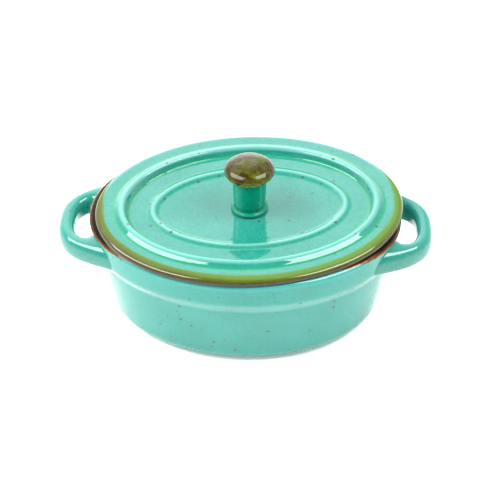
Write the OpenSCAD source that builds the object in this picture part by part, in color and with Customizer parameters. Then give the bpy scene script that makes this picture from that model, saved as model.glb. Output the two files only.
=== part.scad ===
// Mini oval casserole dish in glazed stoneware: a straight-collared oval bowl with two
// loop handles, and a loose-fitting oval lid with two raised oval rings and a mushroom knob.
//
// Frame: millimetres, +Z up, long axis along X. The origin is the middle of the flat base.
// The lid is drawn as it sits, turned a few degrees and pushed slightly off centre within
// the free play of its seat.

/* [Dish] */
// Rim length, outside
rim_length = 153; // [146:1:160]
// Rim width, outside
rim_width = 114; // [111:0.5:120]
// Height of the rim above the table
dish_h = 57.2; // [52:0.2:64]
// Wall thickness at the rim
rim_t = 5; // [4.9:0.1:5.6]
// Wall thickness below the collar
wall_t = 4.6; // [4:0.1:5.4]
// Floor thickness
floor_t = 5; // [4:0.5:7]
// Depth of the upright collar under the rim
collar_h = 10.5; // [9.5:0.5:12]
// How far the collar leans in over its depth
collar_lean = 0.4; // [0.2:0.1:0.8]
// Step in from the collar to the wall
collar_step = 3.5; // [2.8:0.1:4]
// Wall draft below the collar, degrees
wall_draft = 10.5; // [8.5:0.5:12]
// Radius of the outer bottom corner
base_r = 8; // [6:0.5:10]

/* [Handles] */
// Overall length across the two handles
span = 184.4; // [181:0.2:187]
// Outside width of one handle loop
loop_width = 48.5; // [45:0.5:51]
// Bar width seen from above
bar_w = 8.6; // [7.6:0.1:9.2]
// Bar height
bar_h = 12; // [10.5:0.1:13]
// Drop from the rim to the top of the bar
bar_drop = 5.2; // [4.6:0.2:6]
// Squareness of the loop in plan (2 is an ellipse)
loop_power = 2.6; // [2.2:0.1:3]
// Distance from the middle to where the outside of the bar runs out on the collar
root_out = 34; // [31:0.5:36]
// Distance from the middle to where the inside of the bar meets the collar
root_in = 9; // [8.5:0.1:11]

/* [Lid] */
// Lid length
lid_length = 151; // [148:0.5:153]
// Lid width
lid_width = 116; // [113:0.5:117]
// Flange thickness
flange_t = 2.9; // [2.5:0.1:3.5]
// Rounding of the top of the flange edge
edge_r = 2.2; // [1.4:0.1:2.2]
// Flange edge to the foot of the outer ring
ring1_in = 8.4; // [7.9:0.1:8.9]
// Outer ring crest height above the flange underside
ring1_z = 4.9; // [4.4:0.1:5.4]
// Sunken band height above the flange underside
band_z = 1.3; // [0.9:0.1:1.6]
// Inner ring crest height above the sunken band
ring2_rise = 0.8; // [0.5:0.1:1.2]
// Middle of the lid, height above the flange underside
dome_z = 0.5; // [0.2:0.1:1.3]
// Lid plate thickness
plate_t = 4.5; // [4:0.1:5]
// Depth of the locating ring under the flange
skirt_h = 6; // [5:0.5:8]
// Locating ring thickness
skirt_t = 4; // [3.5:0.1:4.5]

/* [Knob] */
// Knob height above the lid
knob_h = 28.5; // [26:0.1:31]
// Cap diameter
cap_d = 24.4; // [23:0.2:26]
// Cap height
cap_h = 10.8; // [9.4:0.2:12]
// Stem diameter
stem_d = 16.6; // [15.6:0.2:17]
// Foot bead diameter
foot_d = 18.3; // [18.2:0.1:19.4]

/* [Lid seat] */
// Glaze-to-glaze gap under the flange
seat_gap = 0.2; // [0.1:0.05:0.5]
// How far the lid is turned in its seat, degrees
lid_turn = 7.4; // [0:0.2:7.6]
// How far the lid is pushed along the dish
lid_dx = 2; // [-2:0.1:2]
// How far the lid is pushed across the dish
lid_dy = 1.6; // [-1.6:0.1:1.6]

/* [Hidden] */
$fn = 120;
steps = 7;                               // facets in each small curve of a profile
rim_a = rim_length / 2;
rim_b = rim_width / 2;
rim_end_r = end_r(rim_a, rim_b);
lid_a = lid_length / 2;
lid_b = lid_width / 2;
lid_end_r = end_r(lid_a, lid_b);
collar_z = dish_h - collar_h;            // bottom of the collar
step_h = 10;                             // height of the soft step under the collar
wall_top = [collar_lean + collar_step, collar_z - step_h];
lip_r = 2.4;                             // rounding of the rim edges
well_r = 10;                             // inside bottom corner radius
edge_low_r = 0.6;                        // rounding of the bottom of the flange edge
skirt_in = ring1_in + 2.9;               // lid edge to the outside of the locating ring
band_in = ring1_in + 8.4;                // lid edge to the sunken band
ring2_in = band_in + 8.2;                // lid edge to the inner ring
panel_in = ring2_in + 6.8;               // lid edge to the middle panel
seat_z = dish_h + seat_gap;              // flange underside
bar_top = dish_h - bar_drop;
loop_x = rim_a * sqrt(1 - pow((loop_width - bar_w) / rim_width, 2)) - 3.5;  // start of the bar
root_in_len = 14;                        // length over which the inside of a root spreads
root_out_len = 17;                       // length over which the outside of a root spreads
root_lift = 1;                           // how much higher the bottom of the bar is at a root
root_rise = 2.6;                         // how much higher its top is there
root_sunk = 2.8;                         // depth of the end of the bar below the collar's face
loop_reach = span / 2 - bar_w / 2 - loop_x;
loop_half = (loop_width - bar_w) / 2;
bar_sections = 44;
reach = 160;                             // wedge size, beyond any arc
bar_sides = 20;

// ---------------------------------------------------------------- curves

// n points of an S-shaped run from p (left out) to q, level at both ends
function ease(p, q, n = steps) =
    [for (i = [1:n]) let (t = i / n) [p[0] + (q[0] - p[0]) * t,
                                      p[1] + (q[1] - p[1]) * (1 - cos(180 * t)) / 2]];

// the same, upright at both ends
function ease_up(p, q, n = steps) =
    [for (i = [1:n]) let (t = i / n) [p[0] + (q[0] - p[0]) * (1 - cos(180 * t)) / 2,
                                      p[1] + (q[1] - p[1]) * t]];

// points of an arc about c from angle a0 to a1
function arc(c, r, a0, a1, n = steps) =
    [for (i = [0:n]) let (a = a0 + (a1 - a0) * i / n) [c[0] + r * cos(a), c[1] + r * sin(a)]];

function signed_pow(v, p) = sign(v) * pow(abs(v), p);

// ---------------------------------------------------------------- four-arc oval
//
// Half length a, half width b. The centres of the end arcs and side arcs are the corners of
// four 3-4-5 triangles, so the arcs run tangent into each other and any constant distance
// in from the oval is again such an oval. Lengths and widths go in half millimetres, which
// keeps every arc centre on an exact coordinate.

function end_r(a, b) = b - (a - b) / 2;
function side_r(a, b) = b + 2 * (a - b);

module oval_arc(r, wedge) {
    intersection() {
        rotate([0, 0, wedge[1][0] > 0 && wedge[2][0] > 0 ? 180 : 0])
            rotate_extrude() translate([r, 0]) children();
        translate([0, 0, -reach]) linear_extrude(2 * reach) polygon(wedge);
    }
}

// Sweeps a profile round the oval. The profile's x runs outwards from the oval, so a point
// at -3 is 3 mm inside it.
module oval_sweep(a, b) {
    unit = (a - b) / 2;
    for (s = [0, 1]) mirror([s, 0, 0]) translate([3 * unit, 0, 0])
        oval_arc(end_r(a, b), [[0, 0], [3, -4] * reach / 4, [3, 4] * reach / 4]) children();
    for (s = [0, 1]) mirror([0, s, 0]) translate([0, -4 * unit, 0])
        oval_arc(side_r(a, b), [[0, 0], [3, 4] * reach / 4, [-3, 4] * reach / 4]) children();
}

// The almond-shaped middle that is left when a sweep reaches the end arc centres
module oval_core(a, b, z0, z1) {
    unit = (a - b) / 2;
    translate([0, 0, z0]) intersection() {
        translate([0, -4 * unit, 0]) cylinder(r = 5 * unit, h = z1 - z0);
        translate([0, 4 * unit, 0]) cylinder(r = 5 * unit, h = z1 - z0);
    }
}

// A profile given as [distance in from the oval, height]
module inset_profile(points) {
    polygon([for (p = points) [-p[0], p[1]]]);
}

// ---------------------------------------------------------------- dish

function wall_in(z) = wall_top[0] + (wall_top[1] - z) * tan(wall_draft);

// outside of the collar and wall, from the base up to the rim
function dish_outside() = let (
        c = [wall_in(0) + base_r * tan(45 + wall_draft / 2) - base_r * tan(wall_draft) , base_r],
        foot = [wall_in(base_r) + base_r / cos(wall_draft), base_r])
    concat(
        [for (p = arc([0, 0], base_r, -90, -180 + wall_draft)) foot + p],
        [wall_top],
        ease_up(wall_top, [collar_lean, collar_z]),
        [[0, dish_h - lip_r - 1]],
        [for (p = arc([lip_r, dish_h - lip_r], lip_r, 180, 90)) p]);

// inside of the bowl, from the rim down to the middle of the floor
function dish_inside() = let (
        low = floor_t + well_r,
        well = [wall_in(low) + wall_t + well_r, low])
    concat(
        [for (p = arc([rim_t - lip_r, dish_h - lip_r], lip_r, 90, 0)) p],
        [[rim_t, collar_z + 4]],
        ease_up([rim_t, collar_z + 4], [wall_top[0] + wall_t, wall_top[1]]),
        [for (p = arc(well, well_r, 180, 270)) p],
        [[rim_end_r, floor_t], [rim_end_r, 0]]);

module bowl() {
    color("MediumAquamarine") {
        oval_sweep(rim_a, rim_b)
            inset_profile(concat(dish_outside(), dish_inside()));
        oval_core(rim_a, rim_b, 0, floor_t);
    }
}

// ---------------------------------------------------------------- handles

// centre line of the loop in plan, t from -1 (one root) to 1 (the other)
function loop_point(t) = [
    loop_x + loop_reach * signed_pow(cos(90 * t), 2 / loop_power),
    loop_half * signed_pow(sin(90 * t), 2 / loop_power)];

function loop_dir(t) = let (
        e = 0.004,
        d = loop_point(min(t + e, 1)) - loop_point(max(t - e, -1)))
    d / norm(d);

// 1 at a root, falling to 0 a given length along the bar
function fade(t, len) = pow(max(0, 1 - (loop_point(t)[0] - loop_x) / len), 1.7);

// point just under the collar's face at distance y from the middle
function sunk_point(y) = [rim_a * sqrt(1 - pow(y / rim_b, 2)) - root_sunk, y];

// section of the bar: its inner and outer side spread towards the roots, so that it runs
// smoothly out onto the collar
function bar_ring(t) = let (
        c = loop_point(t),
        n = [loop_dir(t)[1], -loop_dir(t)[0]] * bar_w / 2,
        s = t < 0 ? -1 : 1,
        inside = c - n + fade(t, root_in_len)
            * (sunk_point(s * root_in) - [loop_x, s * (loop_half - bar_w / 2)]),
        outside = c + n + fade(t, root_out_len)
            * (sunk_point(s * root_out) - [loop_x, s * (loop_half + bar_w / 2)]),
        mid = (inside + outside) / 2,
        half = (outside - inside) / 2)
    [for (i = [0:bar_sides - 1]) let (
            a = 360 * i / bar_sides,
            p = mid + half * signed_pow(cos(a), 0.86))
        [p[0], p[1], bar_top + root_rise * fade(t, root_out_len)
            - (bar_h + (root_rise - root_lift) * fade(t, root_out_len)) / 2
            * (1 - signed_pow(sin(a), 0.86))]];

module bar() {
    n = bar_sides;
    rings = [for (k = [0:bar_sections]) bar_ring(2 * k / bar_sections - 1)];
    last = bar_sections * n;
    sides = [for (k = [0:bar_sections - 1], i = [0:n - 1], half = [0, 1])
        let (j = (i + 1) % n, p = k * n, q = p + n)
        half == 0 ? [p + i, q + i, q + j] : [p + i, q + j, p + j]];
    ends = [[for (i = [0:n - 1]) i], [for (i = [0:n - 1]) last + n - 1 - i]];
    polyhedron(points = [for (r = rings, p = r) p], faces = concat(sides, ends), convexity = 4);
}

module handle() {
    difference() {
        bar();
        oval_sweep(rim_a, rim_b)
            inset_profile(concat(dish_outside(), [[20, dish_h], [20, 0]]));
    }
}

module handle_right() {
    color("MediumTurquoise") handle();
}

module handle_left() {
    color("MediumTurquoise") mirror([1, 0, 0]) handle();
}

// ---------------------------------------------------------------- lid

// upper side, from the edge in to the middle
function lid_top() = concat(
    [for (p = arc([edge_r, flange_t - edge_r], edge_r, 180, 90)) p],
    [[ring1_in, flange_t]],
    ease([ring1_in, flange_t], [ring1_in + 4.6, ring1_z]),
    [[ring1_in + 5.1, ring1_z]],
    ease([ring1_in + 5.1, ring1_z], [band_in, band_z], 9),
    [[ring2_in, band_z]],
    ease([ring2_in, band_z], [ring2_in + 3.2, band_z + ring2_rise]),
    ease([ring2_in + 3.2, band_z + ring2_rise], [panel_in, band_z - 0.4]),
    [for (i = [1:steps]) let (t = i / steps)
        [panel_in + (lid_end_r - 3 - panel_in) * t,
         band_z - 0.4 + (dome_z - band_z + 0.4) * sin(90 * t)]]);

// underside, from the middle out to the edge
function lid_under() = let (
        under = band_z - plate_t,
        r = 1.2)
    concat(
        [[lid_end_r, dome_z], [lid_end_r, dome_z - plate_t]],
        [[lid_end_r - 3, dome_z - plate_t]],
        ease([lid_end_r - 3, dome_z - plate_t], [panel_in, under]),
        [[skirt_in + skirt_t, under]],
        [for (p = arc([skirt_in + skirt_t - r, r - skirt_h], r, 0, -90)) p],
        [for (p = arc([skirt_in + r, r - skirt_h], r, -90, -180)) p],
        [[skirt_in, 0]],
        [for (p = arc([edge_low_r, edge_low_r], edge_low_r, 270, 180)) p]);

// where the lid sits on the rim
module seated(z = 0) {
    translate([lid_dx, lid_dy, seat_z + z]) rotate(lid_turn) children();
}

module lid() {
    color("Aquamarine") seated() {
        oval_sweep(lid_a, lid_b) inset_profile(concat(lid_top(), lid_under()));
        oval_core(lid_a, lid_b, dome_z - plate_t, dome_z);
    }
}

// ---------------------------------------------------------------- knob

function knob_outline() = let (
        rc = cap_d / 2,
        zc = knob_h - cap_h / 2,
        rs = stem_d / 2,
        bead = 1.2,
        meet = -acos(rs / rc))
    concat(
        [[0, 0], [foot_d / 2 - bead * 0.6, 0]],
        [for (p = arc([foot_d / 2 - bead, bead * 0.9], bead, -40, 100)) p],
        ease([foot_d / 2 - bead - 0.3, 2.2], [rs - 0.3, knob_h * 0.3], 5),
        ease([rs - 0.3, knob_h * 0.3], [rs, zc + cap_h / 2 * sin(meet)], 5),
        [for (i = [1:24]) let (a = meet + (90 - meet) * i / 24)
            [rc * cos(a), zc + cap_h / 2 * sin(a)]]);

module knob() {
    color("Olive") seated(dome_z) rotate_extrude() polygon(knob_outline());
}

// ---------------------------------------------------------------- assembly

bowl();
handle_left();
handle_right();
lid();
knob();
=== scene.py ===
"""Looks of the mini oval casserole dish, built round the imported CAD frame.

Every visible piece is a smooth mesh of the same shape as the CAD node it stands for, with
a procedural reactive-glaze material. The named lengths below are in millimetres, as in the
CAD, and MM turns them into metres.
"""
import math

import bpy
from mathutils import Matrix, Vector, noise


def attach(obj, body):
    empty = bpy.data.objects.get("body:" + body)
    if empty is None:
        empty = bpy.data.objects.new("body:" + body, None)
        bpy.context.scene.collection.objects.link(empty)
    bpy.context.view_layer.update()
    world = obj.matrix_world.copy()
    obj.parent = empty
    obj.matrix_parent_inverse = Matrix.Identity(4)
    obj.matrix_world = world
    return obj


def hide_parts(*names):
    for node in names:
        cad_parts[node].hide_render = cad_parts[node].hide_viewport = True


MM = 0.001

# dish
RIM_A, RIM_B, DISH_H = 76.5, 57.0, 57.2
RIM_T, WALL_T, FLOOR_T = 5.0, 4.6, 5.0
COLLAR_H, COLLAR_LEAN, COLLAR_STEP, STEP_H = 10.5, 0.4, 3.5, 10.0
WALL_DRAFT, BASE_R, WELL_R, LIP_R = math.radians(10.5), 8.0, 10.0, 2.4

# handles
SPAN, LOOP_W, BAR_W, BAR_H, BAR_DROP = 184.4, 48.5, 8.6, 12.0, 5.2
LOOP_POWER, BAR_SQUARE, ROOT_OUT, ROOT_IN, ROOT_SUNK = 2.6, 0.86, 34.0, 9.0, 2.8
ROOT_OUT_LEN, ROOT_IN_LEN, ROOT_LIFT, ROOT_RISE = 17.0, 14.0, 1.0, 2.6

# lid; the names that end in _IN are distances in from its edge
LID_A, LID_B, FLANGE_T, EDGE_R, EDGE_LOW_R = 75.5, 58.0, 2.9, 2.2, 0.6
RING1_IN, RING1_Z, BAND_Z, RING2_RISE, DOME_Z = 8.4, 4.9, 1.3, 0.8, 0.5
PLATE_T, SKIRT_H, SKIRT_T = 4.5, 6.0, 4.0
CREST1_IN, BAND_IN, RING2_IN, PANEL_IN = RING1_IN + 4.6, RING1_IN + 8.4, RING1_IN + 16.6, RING1_IN + 23.4
CREST1_W, CREST2_IN, PANEL_Z, DOME_RUN = 0.5, RING2_IN + 3.2, BAND_Z - 0.4, 15.0
SKIRT_IN, SKIRT_R = RING1_IN + 2.9, 1.2

# knob
KNOB_H, CAP_D, CAP_H, STEM_D, FOOT_D, BEAD_R = 28.5, 24.4, 10.8, 16.6, 18.3, 1.2
KNOB_SUNK = 0.4

# seat of the lid on the dish
SEAT_Z, LID_TURN, LID_DX, LID_DY = DISH_H + 0.2, math.radians(7.4), 2.0, 1.6

# unevenness of the clay as (length, height) of its waves, and how far the skin is drawn in for it
BOWL_WAVES, LID_WAVES, KNOB_WAVES, HANDLE_WAVES = (34, 0.16), (30, 0.1), (9, 0.12), (14, 0.2)
BOWL_DRAWN, LID_DRAWN, HANDLE_DRAWN = 0.06, 0.05, 0.12

# Glaze break of the bowl: how far the brown runs down inside, how far out over the rim in the
# middle, how much further at the two ends, and how much further again at their front. The brown
# goes to near-black inside the lip, which is painted shade under the lid's edge.
BREAK_AND_SHADE_DEPTH, BROWN_OVER, BROWN_END, BROWN_END_FRONT = 8, -0.7, 1.9, 3.6
# Olive edge of the lid: its width at the sides, the extra in front, what the back lacks, and how
# far it runs in underneath.
OLIVE_W, OLIVE_FRONT, OLIVE_BACK, OLIVE_UNDER = 5.5, 0.9, 4.4, 9
# the value of "brown" well away from any glaze break
FAR_FROM_BREAK = -20

# points round the bowl and lid, round the knob and round a handle's bar, and rings along the bar
OVAL_SIDES, KNOB_SIDES, BAR_SIDES, BAR_RINGS = 288, 160, 48, 170

# studio: strength of the backdrop light in front, near the horizon and behind
WORLD_FRONT, WORLD_LOW, WORLD_BACK = 0.4, 0.8, 2.7
# name, direction and long side in the camera's frame, size in metres, watts
SOFTBOXES = (
    ("softbox_left", (-0.643, -0.119, 0.757), (-0.526, 0.598, -0.298), (0.53, 1.08), 24.0),
    ("softbox_right", (0.565, -0.092, 0.823), (0.585, 0.529, -0.255), (0.48, 0.78), 15.5),
)
SOFTBOX_FAR, SOFTBOX_AIM = 1.15, (0, 0, 0.06)

# camera: azimuth, elevation, distance and focal length in millimetres, and what it looks at
CAM_AZ, CAM_EL, CAM_DIST, CAM_LENS = math.radians(1.83), math.radians(40), 750.0, 108.0
CAM_AIM = (2.3, 0.75, 31.7)


# ---------------------------------------------------------------- profiles

def run(p, q, n=8):
    """n points of an S-shaped run from p (left out) to q, level at both ends."""
    out = []
    for i in range(1, n + 1):
        t = i / n
        out.append((p[0] + (q[0] - p[0]) * t, p[1] + (q[1] - p[1]) * (1 - math.cos(math.pi * t)) / 2))
    return out


def drop(p, q, n=10):
    """The same, upright at both ends."""
    return [(p[0] + (q[0] - p[0]) * (1 - math.cos(math.pi * i / n)) / 2, p[1] + (q[1] - p[1]) * i / n)
            for i in range(1, n + 1)]


def arc(c, r, a0, a1, n=8):
    """Points of an arc about c, angles in degrees."""
    out = []
    for i in range(n + 1):
        a = math.radians(a0 + (a1 - a0) * i / n)
        out.append((c[0] + r * math.cos(a), c[1] + r * math.sin(a)))
    return out


def resample(points, step):
    """The same line with points no further apart than step."""
    out = [points[0]]
    for p, q in zip(points, points[1:]):
        n = max(1, math.ceil(math.dist(p, q) / step))
        out += [tuple(a + (b - a) * i / n for a, b in zip(p, q)) for i in range(1, n + 1)]
    return out


def soften(points, times=2):
    """Rounds the small kinks where two curves of a profile meet."""
    pts = [tuple(p) for p in points]
    for _ in range(times):
        mid = [tuple((a + 2 * b + c) / 4 for a, b, c in zip(*tri))
               for tri in zip(pts, pts[1:], pts[2:])]
        pts = pts[:1] + mid + pts[-1:]
    return pts


def wall_in(z):
    """How far the wall below the collar has drawn in from the rim at height z."""
    return COLLAR_LEAN + COLLAR_STEP + (DISH_H - COLLAR_H - STEP_H - z) * math.tan(WALL_DRAFT)


def dish_profile():
    """[inset from the rim oval, height] from the middle of the base, outside, over the rim, inside."""
    cz = DISH_H - COLLAR_H
    top = (COLLAR_LEAN + COLLAR_STEP, cz - STEP_H)
    foot = (wall_in(BASE_R) + BASE_R / math.cos(WALL_DRAFT), BASE_R)
    low = FLOOR_T + WELL_R
    well = (wall_in(low) + WALL_T + WELL_R, low)
    base = arc(foot, BASE_R, -90, -180 + math.degrees(WALL_DRAFT), 14)
    outside = base + [top] + drop(top, (COLLAR_LEAN, cz)) + [(0, DISH_H - LIP_R - 1)]
    lip = arc((LIP_R, DISH_H - LIP_R), LIP_R, 180, 90) + arc((RIM_T - LIP_R, DISH_H - LIP_R), LIP_R, 90, 0)
    inside = [(RIM_T, cz + 4)] + drop((RIM_T, cz + 4), (top[0] + WALL_T, top[1]))
    return outside + lip + inside + arc(well, WELL_R, 180, 270, 14)


def lid_profile():
    """[inset from the lid oval, height over the seat] from the panel's edge out, round, and under."""
    under = BAND_Z - PLATE_T
    crest_end, skirt_end = CREST1_IN + CREST1_W, SKIRT_IN + SKIRT_T
    top = arc((EDGE_R, FLANGE_T - EDGE_R), EDGE_R, 180, 90) + [(RING1_IN, FLANGE_T)]
    top += run((RING1_IN, FLANGE_T), (CREST1_IN, RING1_Z), 14) + [(crest_end, RING1_Z)]
    top += run((crest_end, RING1_Z), (BAND_IN, BAND_Z), 16) + [(RING2_IN, BAND_Z)]
    top += run((RING2_IN, BAND_Z), (CREST2_IN, BAND_Z + RING2_RISE), 8)
    top += run((CREST2_IN, BAND_Z + RING2_RISE), (PANEL_IN, PANEL_Z), 8)
    below = [(PANEL_IN, under), (skirt_end, under)]
    below += arc((skirt_end - SKIRT_R, SKIRT_R - SKIRT_H), SKIRT_R, 0, -90)
    below += arc((SKIRT_IN + SKIRT_R, SKIRT_R - SKIRT_H), SKIRT_R, -90, -180)
    below += [(SKIRT_IN, 0)] + arc((EDGE_LOW_R, EDGE_LOW_R), EDGE_LOW_R, 270, 180)
    return top, below


def knob_profile():
    """[radius, height over the lid] from the foot up the stem, then of the cap to near its top."""
    rc, zc, rs = CAP_D / 2, KNOB_H - CAP_H / 2, STEM_D / 2
    meet = -math.acos(rs / rc)
    waist = (rs - 0.3, KNOB_H * 0.3)
    stem = [(FOOT_D / 2 - BEAD_R * 0.6, -KNOB_SUNK)]
    stem += arc((FOOT_D / 2 - BEAD_R, BEAD_R * 0.9), BEAD_R, -40, 100, 12)
    stem += run((FOOT_D / 2 - BEAD_R - 0.3, 2.2), waist, 10)
    stem += run(waist, (rs, zc + CAP_H / 2 * math.sin(meet)), 10)
    cap = []
    for i in range(1, 60):
        a = meet + (math.pi / 2 - meet) * i / 60
        cap.append((rc * math.cos(a), zc + CAP_H / 2 * math.sin(a)))
    return stem, cap


# ---------------------------------------------------------------- meshes

def oval(a, b, inset, theta):
    """A point of the curve that lies inset inside an ellipse, by the direction theta it faces."""
    c, s = math.cos(theta), math.sin(theta)
    h = math.hypot(a * c, b * s)
    return (a * a / h - inset) * c, (b * b / h - inset) * s


def wander(x, y, z, size, amount):
    """Slow unevenness of hand-poured clay, as a small length."""
    return amount * noise.noise(Vector((x / size, y / size, z / size)))


class Skin:
    """Collects rings of points with their glaze values, and makes a closed smooth mesh.

    The value "brown" is how far a point lies inside the glaze break, in millimetres. The second
    value is above 0 where the glaze has run off a bulge and below 0 where it has pooled; on the lid
    it is made stronger, so that there it also stands for painted highlight on bulges and painted shade in
    hollows.
    """

    def __init__(self, around):
        self.around, self.verts, self.faces = around, [], []
        self.values = {"brown": [], "thin_glaze_and_shading": []}
        self.first = None

    def ring(self, points, brown, thin_glaze_and_shading):
        """Adds a ring and joins it to the one before; brown is one value or one for each point."""
        start = len(self.verts)
        self.verts += points
        self.values["brown"] += brown if isinstance(brown, list) else [brown] * len(points)
        self.values["thin_glaze_and_shading"] += [thin_glaze_and_shading] * len(points)
        if self.first is not None:
            n, p = self.around, self.first
            self.faces += [(p + i, p + (i + 1) % n, start + (i + 1) % n, start + i) for i in range(n)]
        self.first = start

    def cap(self, point, brown, flip=False):
        """Closes the last ring with a fan, or the first one with flip."""
        k, n = len(self.verts), self.around
        self.verts.append(point)
        self.values["brown"].append(brown)
        self.values["thin_glaze_and_shading"].append(0.0)
        p = 0 if flip else self.first
        if flip:
            self.faces += [(p + (i + 1) % n, p + i, k) for i in range(n)]
        else:
            self.faces += [(p + i, p + (i + 1) % n, k) for i in range(n)]

    def build(self, name, place=None, broken=None):
        """Makes the mesh; faces with brown between the two values broken take its second material."""
        mesh = bpy.data.meshes.new(name)
        mesh.from_pydata([tuple(c * MM for c in v) for v in self.verts], [], self.faces)
        if broken is not None:
            low, high = broken
            brown = self.values["brown"]
            second = [int(all(low < brown[v] < high for v in face)) for face in self.faces]
            mesh.polygons.foreach_set("material_index", second)
        if place is not None:
            mesh.transform(place)
        for key, vals in self.values.items():
            mesh.attributes.new(key, "FLOAT", "POINT").data.foreach_set("value", vals)
        mesh.shade_smooth()
        mesh.validate()
        mesh.update()
        obj = bpy.data.objects.new(name, mesh)
        bpy.context.scene.collection.objects.link(obj)
        return obj


def bends(profile):
    """For each point of a profile, how sharply it bulges out (+) or hollows in (-), smoothed."""
    raw = []
    n = len(profile)
    for i in range(n):
        a, b, c = profile[max(i - 1, 0)], profile[i], profile[min(i + 1, n - 1)]
        u, v = (b[0] - a[0], b[1] - a[1]), (c[0] - b[0], c[1] - b[1])
        size = math.hypot(*u) + math.hypot(*v)
        turn = math.atan2(u[0] * v[1] - u[1] * v[0], u[0] * v[0] + u[1] * v[1])
        raw.append(0 if size < 1e-6 else 2 * turn / size)
    for _ in range(6):
        raw = [(raw[max(i - 1, 0)] + 2 * raw[i] + raw[min(i + 1, n - 1)]) / 4 for i in range(n)]
    return raw


def along(profile):
    """Length along a profile up to each point."""
    out = [0.0]
    for p, q in zip(profile, profile[1:]):
        out.append(out[-1] + math.dist(p, q))
    return out


def clamp(v):
    return max(0.0, min(1.0, v))


def make_bowl():
    """The bowl; its glaze breaks brown from the top of the lip inwards, and over it at the ends, and inside
    the lip the brown is darkened to near-black as painted shade under the lid's edge.
    """
    prof = soften(resample(dish_profile(), 0.9))
    s, k = along(prof), bends(prof)
    outer = next(i for i, p in enumerate(prof) if p[1] > DISH_H - 0.12 * LIP_R)
    skin = Skin(OVAL_SIDES)
    for i, (d, z) in enumerate(prof):
        pts, brown = [], []
        for j in range(skin.around):
            th = 2 * math.pi * j / skin.around
            x, y = oval(RIM_A, RIM_B, d, th)
            w = wander(x, y, z, *BOWL_WAVES) - BOWL_DRAWN if 1 < z < DISH_H - 1 else 0
            pts.append((x + w * math.cos(th), y + w * math.sin(th), z))
            end = clamp((abs(math.cos(th)) - 0.5) / 0.4)
            over = end * (BROWN_END + BROWN_END_FRONT * max(0.0, -math.sin(th))) + BROWN_OVER
            brown.append(min(s[i] - s[outer] + over, s[outer] + BREAK_AND_SHADE_DEPTH - s[i]))
        skin.ring(pts, brown, -k[i])
    skin.cap((0, 0, 0), FAR_FROM_BREAK, flip=True)
    skin.cap((0, 0, FLOOR_T), FAR_FROM_BREAK)
    return skin.build("bowl_glazed", None, (0.3, 99))


def make_lid(place):
    """The lid, from the middle of its underside out, round the edge and in to the middle of the top."""
    top, below = lid_profile()
    top = soften(resample(top, 0.5))
    below = soften(resample(below, 0.7))
    skin = Skin(OVAL_SIDES)
    angles = [2 * math.pi * j / OVAL_SIDES for j in range(OVAL_SIDES)]

    def ring(d, z, shrink=1.0):
        pts = []
        for j, th in enumerate(angles):
            x, y = oval(LID_A, LID_B, d + LID_DRAWN, th)
            x, y = x * shrink, y * shrink
            uneven = wander(x, y, 7, *LID_WAVES) if d > 1.5 else 0
            pts.append((x, y, (z[j] if isinstance(z, list) else z) + uneven))
        return pts

    def panel_ring(shrink, edge_z, middle_z):
        """A ring of the middle panel, which runs level from DOME_RUN inside its edge."""
        heights = []
        for th in angles:
            far = math.hypot(LID_A * math.cos(th), LID_B * math.sin(th)) - PANEL_IN
            t = min(1, (1 - shrink) * far / DOME_RUN)
            heights.append(edge_z + (middle_z - edge_z) * math.sin(math.pi / 2 * t))
        return ring(PANEL_IN, heights, shrink)

    under = BAND_Z - PLATE_T
    for step in range(1, 19):
        skin.ring(panel_ring(step / 18, under, DOME_Z - PLATE_T), FAR_FROM_BREAK, 0)
    length = along(below)
    for (d, z), s in list(zip(below, length))[1:]:
        skin.ring(ring(d, z), s - length[-1] + OLIVE_UNDER, 0)
    wide = []
    for th in angles:
        back = math.sin(th)
        wide.append(OLIVE_W + OLIVE_FRONT * max(0.0, -back) - OLIVE_BACK * clamp((back - 0.1) / 0.6))
    # the crests' pale and the hollows' deep colour is made 1.5 times stronger here: partly glaze run off and
    # pooled, partly painted highlight on the ring crests and painted shade at their feet
    for (d, z), s, bend in list(zip(top, along(top), bends(top)))[1:]:
        skin.ring(ring(d, z), [w - s for w in wide], -1.5 * bend)
    for step in range(1, 24):
        skin.ring(panel_ring(1 - step / 24, PANEL_Z, DOME_Z), FAR_FROM_BREAK, 0)
    skin.cap((0, 0, DOME_Z), FAR_FROM_BREAK)
    skin.cap((0, 0, DOME_Z - PLATE_T), FAR_FROM_BREAK, flip=True)
    return skin.build("lid_glazed", place, (0.2, 3.2))


def make_knob(place):
    """The knob; its cap is brown from the underside up, and its foot takes a deeper colour."""
    stem, cap = knob_profile()
    prof = soften(resample(stem, 0.45) + cap, 3)
    brown_z = KNOB_H - CAP_H * 0.86
    skin = Skin(KNOB_SIDES)
    for (r, z), bend in zip(prof, bends(prof)):
        pts = []
        for j in range(skin.around):
            a = 2 * math.pi * j / skin.around
            x, y = r * math.cos(a), r * math.sin(a)
            w = wander(x, y, z, *KNOB_WAVES) if z > 1 else 0
            pts.append((x + w * math.cos(a), y + w * math.sin(a), z))
        # up to 5 mm the foot takes a fixed deeper colour instead of the pale its bead would give
        skin.ring(pts, z - brown_z, bend if z > 5 else -0.25)
    skin.cap((0, 0, KNOB_H), 8)
    skin.cap((0, 0, -KNOB_SUNK), FAR_FROM_BREAK, flip=True)
    return skin.build("knob_glazed", place)


def power(v, p):
    """v to the power p with v's own sign, for rounded squares."""
    return math.copysign(abs(v) ** p, v)


def loop_start():
    """Distance from the middle of the dish to where the bar of a handle starts."""
    return RIM_A * math.sqrt(1 - ((LOOP_W - BAR_W) / 2 / RIM_B) ** 2) - 3.5


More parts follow.
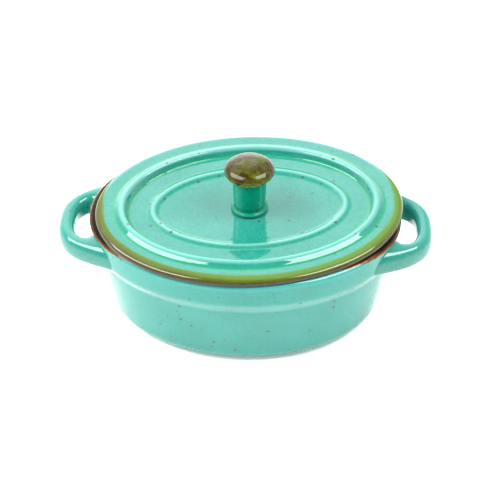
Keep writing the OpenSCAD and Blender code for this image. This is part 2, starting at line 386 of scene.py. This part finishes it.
def loop_line(count):
    """Centre line of the loop in plan, from root to root, as count steps."""
    half, start = (LOOP_W - BAR_W) / 2, loop_start()
    reach = SPAN / 2 - BAR_W / 2 - start
    out = []
    for i in range(count + 1):
        a = math.pi / 2 * (-1 + 2 * i / count)
        out.append((start + reach * power(math.cos(a), 2 / LOOP_POWER),
                    half * power(math.sin(a), 2 / LOOP_POWER)))
    return out


def sunk_point(y):
    """The point just under the collar's face at distance y from the middle."""
    return (RIM_A * math.sqrt(1 - (y / RIM_B) ** 2) - ROOT_SUNK, y)


def bar_edge(c, out, end, spread, goal_y, plain_y):
    """One side of the bar: out from the line's point c, and moved over to its place at the root."""
    start = loop_start()
    fade = max(0.0, 1 - (c[0] - start) / spread) ** 1.7
    goal = sunk_point(end * goal_y)
    return (c[0] + out[0] + fade * (goal[0] - start),
            c[1] + out[1] + fade * (goal[1] - end * plain_y)), fade


def make_handle(name, side):
    """A loop handle, swept from root to root, on the right (side 1) or the left (side -1)."""
    half, top = (LOOP_W - BAR_W) / 2, DISH_H - BAR_DROP
    count = 400
    line = loop_line(count)
    s = along(line)
    skin = Skin(BAR_SIDES)
    at = 0
    middles = []
    for k in range(BAR_RINGS + 1):
        want = s[-1] * k / BAR_RINGS
        while at < count - 1 and s[at + 1] < want:
            at += 1
        f = (want - s[at]) / max(1e-9, s[at + 1] - s[at])
        c = [line[at][m] + (line[at + 1][m] - line[at][m]) * f for m in (0, 1)]
        i0, i1 = max(0, at - 3), min(count, at + 4)
        d = [line[i1][m] - line[i0][m] for m in (0, 1)]
        size = math.hypot(*d)
        n = (d[1] / size * BAR_W / 2, -d[0] / size * BAR_W / 2)
        end = -1 if 2 * k < BAR_RINGS else 1
        inner, _ = bar_edge(c, (-n[0], -n[1]), end, ROOT_IN_LEN, ROOT_IN, half - BAR_W / 2)
        outer, fade = bar_edge(c, n, end, ROOT_OUT_LEN, ROOT_OUT, half + BAR_W / 2)
        mid = [(inner[m] + outer[m]) / 2 for m in (0, 1)]
        h = [(outer[m] - inner[m]) / 2 for m in (0, 1)]
        wide = math.hypot(*h)
        tall = BAR_H + (ROOT_RISE - ROOT_LIFT) * fade
        middle_z = top + ROOT_RISE * fade - tall / 2
        pts = []
        for i in range(skin.around):
            a = 2 * math.pi * i / skin.around
            u, v = power(math.cos(a), BAR_SQUARE), tall / 2 * power(math.sin(a), BAR_SQUARE)
            x, y, z = mid[0] + u * h[0], mid[1] + u * h[1], middle_z + v
            push = wander(x, y * side + 40, z, *HANDLE_WAVES) - HANDLE_DRAWN
            x += push * math.cos(a) * h[0] / wide
            y += push * math.cos(a) * h[1] / wide
            z += push * math.sin(a)
            pts.append((x * side, y, z))
        # the order of the points turns the faces outwards on both sides
        skin.ring(pts[::-1] if side > 0 else pts, FAR_FROM_BREAK, 0.12)
        middles.append((mid[0] * side, mid[1], middle_z))
    skin.cap(middles[-1], FAR_FROM_BREAK)
    skin.cap(middles[0], FAR_FROM_BREAK, flip=True)
    return skin.build(name)


# ---------------------------------------------------------------- materials

def srgb(r, g, b):
    """An 8-bit display colour as the linear values shaders use."""
    out = []
    for c in (r, g, b):
        c /= 255
        out.append(c / 12.92 if c <= 0.04045 else ((c + 0.055) / 1.055) ** 2.4)
    return (*out, 1.0)


class Graph:
    """Short names for adding and linking shader nodes."""

    def __init__(self, name):
        self.mat = bpy.data.materials.new(name)
        self.mat.use_nodes = True
        self.tree = self.mat.node_tree
        self.tree.nodes.clear()
        self.out = self.tree.nodes.new("ShaderNodeOutputMaterial")
        coords = self.tree.nodes.new("ShaderNodeTexCoord")
        scale = self.tree.nodes.new("ShaderNodeVectorMath")
        scale.operation = "SCALE"
        scale.inputs["Scale"].default_value = 1000
        self.link(coords.outputs["Object"], scale.inputs[0])
        self.mm = scale.outputs[0]                      # position in millimetres

    def link(self, a, b):
        self.tree.links.new(a, b)

    def set(self, socket, value):
        if hasattr(value, "links"):
            self.link(value, socket)
        else:
            socket.default_value = value

    def math(self, op, a, b):
        n = self.tree.nodes.new("ShaderNodeMath")
        n.operation = op
        self.set(n.inputs[0], a)
        self.set(n.inputs[1], b)
        return n.outputs[0]

    def attr(self, name):
        n = self.tree.nodes.new("ShaderNodeAttribute")
        n.attribute_name = name
        return n.outputs["Fac"]

    def noise(self, size, detail=2.0, rough=0.5, distort=0.0, seed=0.0):
        """Noise of about that size in millimetres, 0 to 1 round 0.5."""
        n = self.tree.nodes.new("ShaderNodeTexNoise")
        n.noise_dimensions = "4D"
        self.set(n.inputs["W"], seed)
        self.link(self.mm, n.inputs["Vector"])
        for key, v in (("Scale", 1 / size), ("Detail", detail), ("Roughness", rough),
                       ("Distortion", distort)):
            n.inputs[key].default_value = v
        return n.outputs["Fac"]

    def steps(self, value, lo, hi, to_lo=0.0, to_hi=1.0, smooth=True):
        """Turns the range lo to hi into to_lo to to_hi, and holds both ends level beyond it."""
        n = self.tree.nodes.new("ShaderNodeMapRange")
        n.interpolation_type = "SMOOTHSTEP" if smooth else "LINEAR"
        for key, v in (("Value", value), ("From Min", lo), ("From Max", hi),
                       ("To Min", to_lo), ("To Max", to_hi)):
            self.set(n.inputs[key], v)
        return n.outputs["Result"]

    def ramp(self, value, stops):
        n = self.tree.nodes.new("ShaderNodeValToRGB")
        els = n.color_ramp.elements
        while len(els) < len(stops):
            els.new(0.5)
        for el, (pos, col) in zip(els, stops):
            el.position, el.color = pos, col
        self.set(n.inputs["Fac"], value)
        return n.outputs["Color"]

    def mix(self, fac, a, b):
        """Colour a where fac is 0, b where it is 1."""
        n = self.tree.nodes.new("ShaderNodeMix")
        n.data_type = "RGBA"
        self.set(n.inputs["Factor"], fac)
        cols = [i for i in n.inputs if i.type == "RGBA"]
        self.set(cols[0], a)
        self.set(cols[1], b)
        return [o for o in n.outputs if o.type == "RGBA"][0]

    def specks(self, cell, radius, seed):
        """Round spots, each of its own size: 1 in a spot and 0 away from it, and a value per spot."""
        shift = self.tree.nodes.new("ShaderNodeVectorMath")
        shift.operation = "ADD"
        self.link(self.mm, shift.inputs[0])
        shift.inputs[1].default_value = (seed, seed * 1.7, seed * 0.6)
        wob = self.tree.nodes.new("ShaderNodeTexNoise")
        wob.inputs["Scale"].default_value = 1.3 / radius
        self.link(shift.outputs[0], wob.inputs["Vector"])
        v = self.tree.nodes.new("ShaderNodeTexVoronoi")
        v.inputs["Scale"].default_value = 1 / cell
        self.link(shift.outputs[0], v.inputs["Vector"])
        sep = self.tree.nodes.new("ShaderNodeSeparateColor")
        self.link(v.outputs["Color"], sep.inputs[0])
        dist = self.math("MULTIPLY", v.outputs["Distance"], cell)
        ragged = self.math("MULTIPLY", self.math("SUBTRACT", wob.outputs["Fac"], 0.5), radius)
        dist = self.math("ADD", dist, ragged)
        size = self.math("MULTIPLY", self.math("POWER", sep.outputs[0], 1.6), radius)
        spot = self.math("SUBTRACT", 1.0, self.math("DIVIDE", dist, self.math("MAXIMUM", size, 0.02)))
        return self.steps(spot, 0.0, 0.55), sep.outputs[1]

    def bump(self, height, distance, strength, normal=None):
        n = self.tree.nodes.new("ShaderNodeBump")
        n.inputs["Strength"].default_value = strength
        n.inputs["Distance"].default_value = distance
        self.link(height, n.inputs["Height"])
        if normal is not None:
            self.link(normal, n.inputs["Normal"])
        return n.outputs["Normal"]

    def shader(self, colour, rough, normal, ior=1.5):
        n = self.tree.nodes.new("ShaderNodeBsdfPrincipled")
        self.link(colour, n.inputs["Base Color"])
        self.set(n.inputs["Roughness"], rough)
        n.inputs["IOR"].default_value = ior
        self.link(normal, n.inputs["Normal"])
        self.link(n.outputs[0], self.out.inputs["Surface"])
        return self.mat


def turquoise(g, base, deep, pale):
    """Speckled turquoise glaze: clouded, paler on bulges where it has run off, deeper in hollows where it
    pools; on the lid also painted highlight and painted shade.
    """
    cloud = g.noise(22, 3, 0.55)
    col = g.mix(g.steps(cloud, 0.3, 0.7), base[0], base[1])
    thin_glaze_and_shading = g.attr("thin_glaze_and_shading")
    # paler on bulges and deeper in hollows: glaze run off and pooled, and on the lid also painted highlight
    # and painted shade
    col = g.mix(g.steps(thin_glaze_and_shading, 0.05, 0.5, 0, 0.8), col, pale)
    col = g.mix(g.steps(thin_glaze_and_shading, -0.04, -0.3, 0, 0.75), col, deep)
    mottle = g.noise(1.6, 3, 0.6, seed=3)
    col = g.mix(g.steps(mottle, 0.35, 0.75, 0, 0.16), col, pale)
    return col


def speckle(g, col, dense=1.0):
    """Iron specks of three sizes, in loose clusters, with the colour bled out round them."""
    cluster = g.noise(26, 2, 0.5, seed=11)
    few = g.steps(cluster, 0.36, 0.62, 0.55, 1.0)
    pits = None
    for cell, radius, seed, strong in ((5.2, 1.25, 3.1, 0.95), (3.9, 0.65, 41.7, 0.9), (2.6, 0.3, 77.3, 0.6)):
        spot, hue = g.specks(cell, radius, seed)
        amount = g.math("MULTIPLY", g.math("MULTIPLY", spot, few), strong * dense)
        tint = g.mix(hue, srgb(50, 42, 30), srgb(58, 62, 52))
        col = g.mix(amount, col, tint)
        pits = amount if pits is None else g.math("MAXIMUM", pits, amount)
    return col, pits


def glaze_surface(g, pits):
    """Glossy glaze skin: slow waviness, fine orange peel, small pits at the specks."""
    wave = g.noise(11, 1, 0.4, seed=5)
    peel = g.noise(1.1, 2, 0.5, seed=8)
    n = g.bump(wave, 0.0006, 0.12)
    n = g.bump(peel, 0.0001, 0.10, n)
    if pits is not None:
        n = g.bump(g.math("SUBTRACT", 1.0, pits), 0.0002, 0.25, n)
    return n, g.steps(g.noise(6, 2, 0.5, seed=21), 0.3, 0.7, 0.03, 0.06)


def bowl_material(name, ior):
    g = Graph(name)
    col = turquoise(g, (srgb(12, 124, 110), srgb(22, 131, 118)), srgb(6, 118, 99), srgb(66, 148, 140))
    col, pits = speckle(g, col)
    ragged = g.math("SUBTRACT", g.noise(3.2, 4, 0.65, 0.6, seed=2), 0.5)
    b = g.math("ADD", g.attr("brown"), g.math("MULTIPLY", ragged, 2.2))
    # amber where the glaze breaks, darkening to near-black navy inside the lip: painted shade under the lid's
    # edge
    band = g.ramp(g.steps(b, -0.2, 6.0, smooth=False), [
        (0.0, srgb(96, 74, 12)), (0.14, srgb(88, 54, 7)), (0.32, srgb(50, 26, 4)),
        (0.46, srgb(18, 8, 5)), (1.0, srgb(6, 8, 14))])
    col = g.mix(g.steps(b, -0.35, 0.1), col, band)
    # bare clay on the ring the dish stands on
    sep = g.tree.nodes.new("ShaderNodeSeparateXYZ")
    g.link(g.mm, sep.inputs[0])
    bare = g.steps(sep.outputs["Z"], 0.5, 0.15)
    clay = g.mix(g.noise(0.8, 4, 0.7, seed=14), srgb(196, 176, 150), srgb(222, 206, 184))
    col = g.mix(bare, col, clay)
    normal, rough = glaze_surface(g, pits)
    rough = g.math("ADD", rough, g.math("MULTIPLY", bare, 0.6))
    return g.shader(col, rough, normal, ior)


def handle_material():
    g = Graph("handle_reactive_glaze")
    col = turquoise(g, (srgb(18, 111, 97), srgb(28, 118, 104)), srgb(6, 106, 86), srgb(76, 146, 134))
    col, pits = speckle(g, col, 0.9)
    normal, rough = glaze_surface(g, pits)
    return g.shader(col, rough, normal)


def lid_material(name, ior):
    g = Graph(name)
    col = turquoise(g, (srgb(20, 111, 97), srgb(31, 118, 105)), srgb(4, 122, 88), srgb(88, 152, 140))
    col, pits = speckle(g, col)
    slow = g.math("SUBTRACT", g.noise(24, 2, 0.5, seed=6), 0.5)
    fine = g.math("SUBTRACT", g.noise(1.5, 3, 0.6, seed=9), 0.5)
    ragged = g.math("ADD", g.math("MULTIPLY", slow, 1.6), g.math("MULTIPLY", fine, 1.3))
    b = g.math("ADD", g.attr("brown"), ragged)
    inward = g.steps(b, -0.6, 6.0, smooth=False)
    olive = g.ramp(inward, [
        (0.0, srgb(42, 98, 30)), (0.14, srgb(58, 92, 6)), (0.36, srgb(70, 80, 1)),
        (0.6, srgb(60, 60, 1)), (0.86, srgb(52, 50, 2)), (0.98, srgb(34, 24, 8))])
    green = g.ramp(inward, [
        (0.0, srgb(36, 108, 60)), (0.16, srgb(58, 106, 28)), (0.4, srgb(68, 98, 14)),
        (0.66, srgb(70, 88, 8)), (0.86, srgb(62, 68, 4)), (0.98, srgb(34, 24, 8))])
    sep = g.tree.nodes.new("ShaderNodeSeparateXYZ")
    g.link(g.mm, sep.inputs[0])
    across = g.math("ADD", sep.outputs["X"], g.math("MULTIPLY", slow, 120.0))
    band = g.mix(g.steps(across, -55.0, 5.0), olive, green)
    col = g.mix(g.steps(b, -0.7, 0.2), col, band)
    normal, rough = glaze_surface(g, pits)
    return g.shader(col, rough, normal, ior)


def knob_material():
    g = Graph("knob_reactive_glaze")
    stem = turquoise(g, (srgb(1, 128, 100), srgb(6, 136, 110)), srgb(1, 104, 80), srgb(24, 142, 118))
    stem, pits = speckle(g, stem, 0.6)
    blot = g.noise(7, 4, 0.6, 0.8, seed=31)
    cap = g.ramp(blot, [
        (0.32, srgb(12, 7, 2)), (0.42, srgb(44, 34, 4)), (0.5, srgb(60, 58, 6)),
        (0.6, srgb(66, 74, 10)), (0.72, srgb(86, 106, 18))])
    fleck = g.noise(1.3, 4, 0.7, 0.4, seed=17)
    cap = g.mix(g.steps(fleck, 0.5, 0.66, 0, 0.7), cap, srgb(32, 18, 4))
    cap = g.mix(g.steps(fleck, 0.46, 0.32, 0, 0.4), cap, srgb(96, 96, 40))
    ragged = g.math("SUBTRACT", g.noise(3.0, 3, 0.6, 0.5, seed=12), 0.5)
    b = g.math("ADD", g.attr("brown"), g.math("MULTIPLY", ragged, 2.6))
    edge = g.ramp(g.steps(b, 0.0, 2.6, smooth=False), [
        (0.0, srgb(12, 116, 40)), (0.4, srgb(76, 136, 12)), (1.0, srgb(100, 134, 4))])
    cap = g.mix(g.steps(b, 2.2, 5.0), g.mix(g.steps(blot, 0.46, 0.36, 0, 0.9), edge, srgb(40, 24, 3)), cap)
    col = g.mix(g.steps(b, -0.4, 0.3), stem, cap)
    normal, rough = glaze_surface(g, None)
    return g.shader(col, rough, normal, 1.33)


# ---------------------------------------------------------------- studio

def make_floor():
    """Pale paper with a faint glow, so that its far side stays white."""
    mesh = bpy.data.meshes.new("floor")
    mesh.from_pydata([(-3, -3, 0), (3, -3, 0), (3, 3, 0), (-3, 3, 0)], [], [(0, 1, 2, 3)])
    floor = bpy.data.objects.new("floor", mesh)
    bpy.context.scene.collection.objects.link(floor)
    g = Graph("floor_paper")
    paper = g.tree.nodes.new("ShaderNodeBsdfDiffuse")
    g.link(g.mix(g.noise(60, 2), (0.93, 0.93, 0.935, 1), (0.95, 0.95, 0.95, 1)), paper.inputs["Color"])
    glow = g.tree.nodes.new("ShaderNodeEmission")
    glow.inputs["Strength"].default_value = 0.2
    both = g.tree.nodes.new("ShaderNodeAddShader")
    g.link(paper.outputs[0], both.inputs[0])
    g.link(glow.outputs[0], both.inputs[1])
    g.link(both.outputs[0], g.out.inputs["Surface"])
    mesh.materials.append(g.mat)


def make_backdrop():
    """White light from behind, trimmed at both sides, over a dim front and a pale horizon."""
    world = bpy.data.worlds.new("studio")
    bpy.context.scene.world = world
    world.use_nodes = True
    tree = world.node_tree
    tree.nodes.clear()
    link = tree.links.new

    def fall(value, lo, hi, to_lo, to_hi):
        n = tree.nodes.new("ShaderNodeMapRange")
        n.interpolation_type = "SMOOTHSTEP"
        link(value, n.inputs["Value"])
        for key, v in (("From Min", lo), ("From Max", hi), ("To Min", to_lo), ("To Max", to_hi)):
            n.inputs[key].default_value = v
        return n.outputs[0]

    def combine(op, *values):
        n = tree.nodes.new("ShaderNodeMath")
        n.operation = op
        for socket, v in zip(n.inputs, values):
            if hasattr(v, "links"):
                link(v, socket)
            else:
                socket.default_value = v
        return n.outputs[0]

    coords, sep = tree.nodes.new("ShaderNodeTexCoord"), tree.nodes.new("ShaderNodeSeparateXYZ")
    link(coords.outputs["Generated"], sep.inputs[0])
    x, y, z = sep.outputs["X"], sep.outputs["Y"], sep.outputs["Z"]
    back = fall(y, -0.25, 0.3, 0.0, WORLD_BACK)
    above = fall(z, 0.72, 0.93, 1.0, 0.15)
    horizon = fall(z, 0.1, 0.45, WORLD_LOW, 0.0)
    sides = combine("MULTIPLY", fall(x, 0.04, 0.3, 1.0, 0.3), fall(x, -0.85, -0.3, 0.3, 1.0))
    strength = combine("MULTIPLY_ADD", combine("MULTIPLY", sides, back), above, WORLD_FRONT)
    bg, out = tree.nodes.new("ShaderNodeBackground"), tree.nodes.new("ShaderNodeOutputWorld")
    bg.inputs["Color"].default_value = (0.97, 0.98, 1.0, 1)
    link(combine("ADD", strength, horizon), bg.inputs["Strength"])
    link(bg.outputs[0], out.inputs["Surface"])


def make_softboxes():
    """Two large softboxes over the front, placed in the camera's frame."""
    turn = Matrix.Rotation(CAM_AZ, 4, "Z")
    for name, way, length, size, watts in SOFTBOXES:
        data = bpy.data.lights.new(name, "AREA")
        data.shape = "RECTANGLE"
        data.size, data.size_y, data.energy = size[0], size[1], watts
        obj = bpy.data.objects.new(name, data)
        bpy.context.scene.collection.objects.link(obj)
        z = (turn @ Vector(way)).normalized()
        y = turn @ Vector(length)
        y = (y - z * y.dot(z)).normalized()
        rot = Matrix((y.cross(z), y, z)).transposed().to_4x4()
        obj.matrix_world = Matrix.Translation(z * SOFTBOX_FAR + Vector(SOFTBOX_AIM)) @ rot


def make_camera():
    data = bpy.data.cameras.new("camera")
    data.lens, data.sensor_width, data.sensor_fit = CAM_LENS, 36, "HORIZONTAL"
    data.clip_start, data.clip_end = 0.01, 50
    cam = bpy.data.objects.new("camera", data)
    bpy.context.scene.collection.objects.link(cam)
    level = math.cos(CAM_EL)
    way = Vector((math.sin(CAM_AZ) * level, -math.cos(CAM_AZ) * level, math.sin(CAM_EL)))
    place = Matrix.Translation(Vector(CAM_AIM) * MM + way * CAM_DIST * MM)
    cam.matrix_world = place @ way.to_track_quat("Z", "Y").to_matrix().to_4x4()
    bpy.context.scene.camera = cam


# ---------------------------------------------------------------- assembly

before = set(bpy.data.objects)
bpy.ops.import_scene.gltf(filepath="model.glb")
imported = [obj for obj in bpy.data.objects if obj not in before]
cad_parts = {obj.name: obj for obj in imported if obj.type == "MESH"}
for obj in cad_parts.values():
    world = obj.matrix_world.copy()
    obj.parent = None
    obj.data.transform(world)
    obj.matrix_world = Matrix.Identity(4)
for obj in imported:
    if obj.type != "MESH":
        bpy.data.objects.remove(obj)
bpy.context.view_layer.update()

seat = Matrix.Translation(Vector((LID_DX, LID_DY, SEAT_Z)) * MM) @ Matrix.Rotation(LID_TURN, 4, "Z")
knob_seat = seat @ Matrix.Translation(Vector((0, 0, DOME_Z)) * MM)

# where the glaze has run off and broken brown it is thinner and shines less; inside the bowl's lip this brown
# is near-black painted shade under the lid's edge
bowl_mats = [bowl_material("bowl_reactive_glaze", 1.5), bowl_material("bowl_broken_glaze_and_shade", 1.15)]
lid_mats = [lid_material("lid_reactive_glaze", 1.5), lid_material("lid_broken_glaze", 1.3)]
handle_mats, knob_mats = [handle_material()], [knob_material()]
for piece, body, node, slot, mats in (
        (make_bowl(), "dish", "bowl", "bowl_glaze", bowl_mats),
        (make_handle("handle_left_glazed", -1), "dish", "handle_left", "handle_glaze", handle_mats),
        (make_handle("handle_right_glazed", 1), "dish", "handle_right", "handle_glaze", handle_mats),
        (make_lid(seat), "cover", "lid", "lid_glaze", lid_mats),
        (make_knob(knob_seat), "cover", "knob", "knob_glaze", knob_mats)):
    for mat in mats:
        piece.data.materials.append(mat)
    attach(piece, body)
    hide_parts(node)

bpy.context.scene.view_settings.view_transform = "Standard"
make_floor()
make_backdrop()
make_softboxes()
make_camera()
